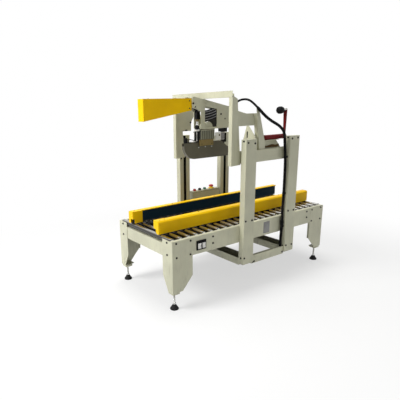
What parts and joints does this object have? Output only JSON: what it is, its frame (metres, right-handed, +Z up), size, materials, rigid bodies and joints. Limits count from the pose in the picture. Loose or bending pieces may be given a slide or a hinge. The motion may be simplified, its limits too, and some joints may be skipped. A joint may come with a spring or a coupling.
{
  "type": "side-belt carton sealing machine",
  "caption": "Side-belt carton sealing machine: roller bed on four legs, two yellow belt units, and a tape head with a flap-folding arm on four posts.",
  "frame": {"origin": "centre of the footprint, on the floor", "axes": "+X along the roller bed towards the outfeed, +Y towards the far side, +Z up; the operator's side is -Y"},
  "size_m": [2, 1, 1.795],
  "materials": {
    "frame_paint": "satin",
    "yellow_paint": "satin",
    "sled_paint": "satin",
    "lever_paint": "satin",
    "roller_steel": "brushed",
    "bright_steel": "polished",
    "cylinder_body": "satin",
    "belt_rubber": "matte",
    "tape_film": "gloss",
    "black_plastic": "matte",
    "button_plastic": "gloss",
    "ochre_plastic": "matte",
    "white_plastic": "matte"
  },
  "bodies": {
    "frame": {"side_plates": "frame_paint", "legs": "frame_paint", "end_members": "frame_paint", "posts": "frame_paint", "base_channels": "frame_paint", "lower_rails": "frame_paint", "cross_rails": "frame_paint", "control_box": "frame_paint", "rollers": "roller_steel", "levelling_feet": "bright_steel", "bed_tray": "cylinder_body", "switch_plate": "black_plastic", "conduit": "black_plastic", "conduit_clips": "black_plastic", "push_buttons": "button_plastic", "emergency_stop": "button_plastic"},
    "belt_unit_near": {"belt_cover_near": "yellow_paint", "belt_end_cap_near": "yellow_paint", "belt_near": "belt_rubber", "belt_pulleys_near": "roller_steel", "belt_carrier_near": "roller_steel"},
    "belt_unit_far": {"belt_cover_far": "yellow_paint", "belt_end_cap_far": "yellow_paint", "belt_far": "belt_rubber", "belt_pulleys_far": "roller_steel", "belt_carrier_far": "roller_steel"},
    "head": {"head_columns": "frame_paint", "head_side_plates": "frame_paint", "head_struts": "frame_paint", "head_gussets": "frame_paint", "carriage_beams": "frame_paint", "guide_blocks": "black_plastic", "head_top_bar": "frame_paint", "tape_frame": "frame_paint", "tape_cartridge": "sled_paint", "tape_roll": "tape_film", "fold_sled": "sled_paint", "sled_mount": "ochre_plastic", "sled_hanger": "cylinder_body", "rear_arm": "white_plastic", "arm_brackets": "frame_paint", "arm_cylinder": "cylinder_body", "lever_shaft": "lever_paint"},
    "flap_arm": {"flap_arm": "yellow_paint", "arm_hub": "roller_steel"},
    "piston": {"cylinder_rod": "bright_steel"},
    "lever": {"lock_lever": "lever_paint", "lever_grip": "black_plastic"}
  },
  "joints": [
    {"name": "head_lift", "type": "slide", "parent": "frame", "child": "head", "axis": [0, 0, 1], "range_m": [-0.35, 0.06]},
    {"name": "belt_far_slide", "type": "slide", "parent": "frame", "child": "belt_unit_far", "axis": [0, 1, 0], "range_m": [-0.11, 0.09]},
    {"name": "belt_near_slide", "type": "slide", "parent": "frame", "child": "belt_unit_near", "axis": [0, -1, 0], "range_m": [-0.11, 0.09]},
    {"name": "flap_arm_swing", "type": "hinge", "parent": "head", "child": "flap_arm", "pos_m": [-0.44, 0, 1.675], "axis": [0, -1, 0], "range_deg": [0, 45]},
    {"name": "rod_slide", "type": "slide", "parent": "head", "child": "piston", "axis": [0, 0, 1], "range_m": [0, 0.055]},
    {"name": "lever_turn", "type": "hinge", "parent": "head", "child": "lever", "pos_m": [0.343, -0.41, 1.388], "axis": [-1, 0, 0], "range_deg": [0, 90]}
  ],
  "couplings": [
    {"joint": "belt_near_slide", "follows": "belt_far_slide", "ratio": 1},
    {"joint": "rod_slide", "follows": "flap_arm_swing", "m_per_rad": 0.069}
  ]
}
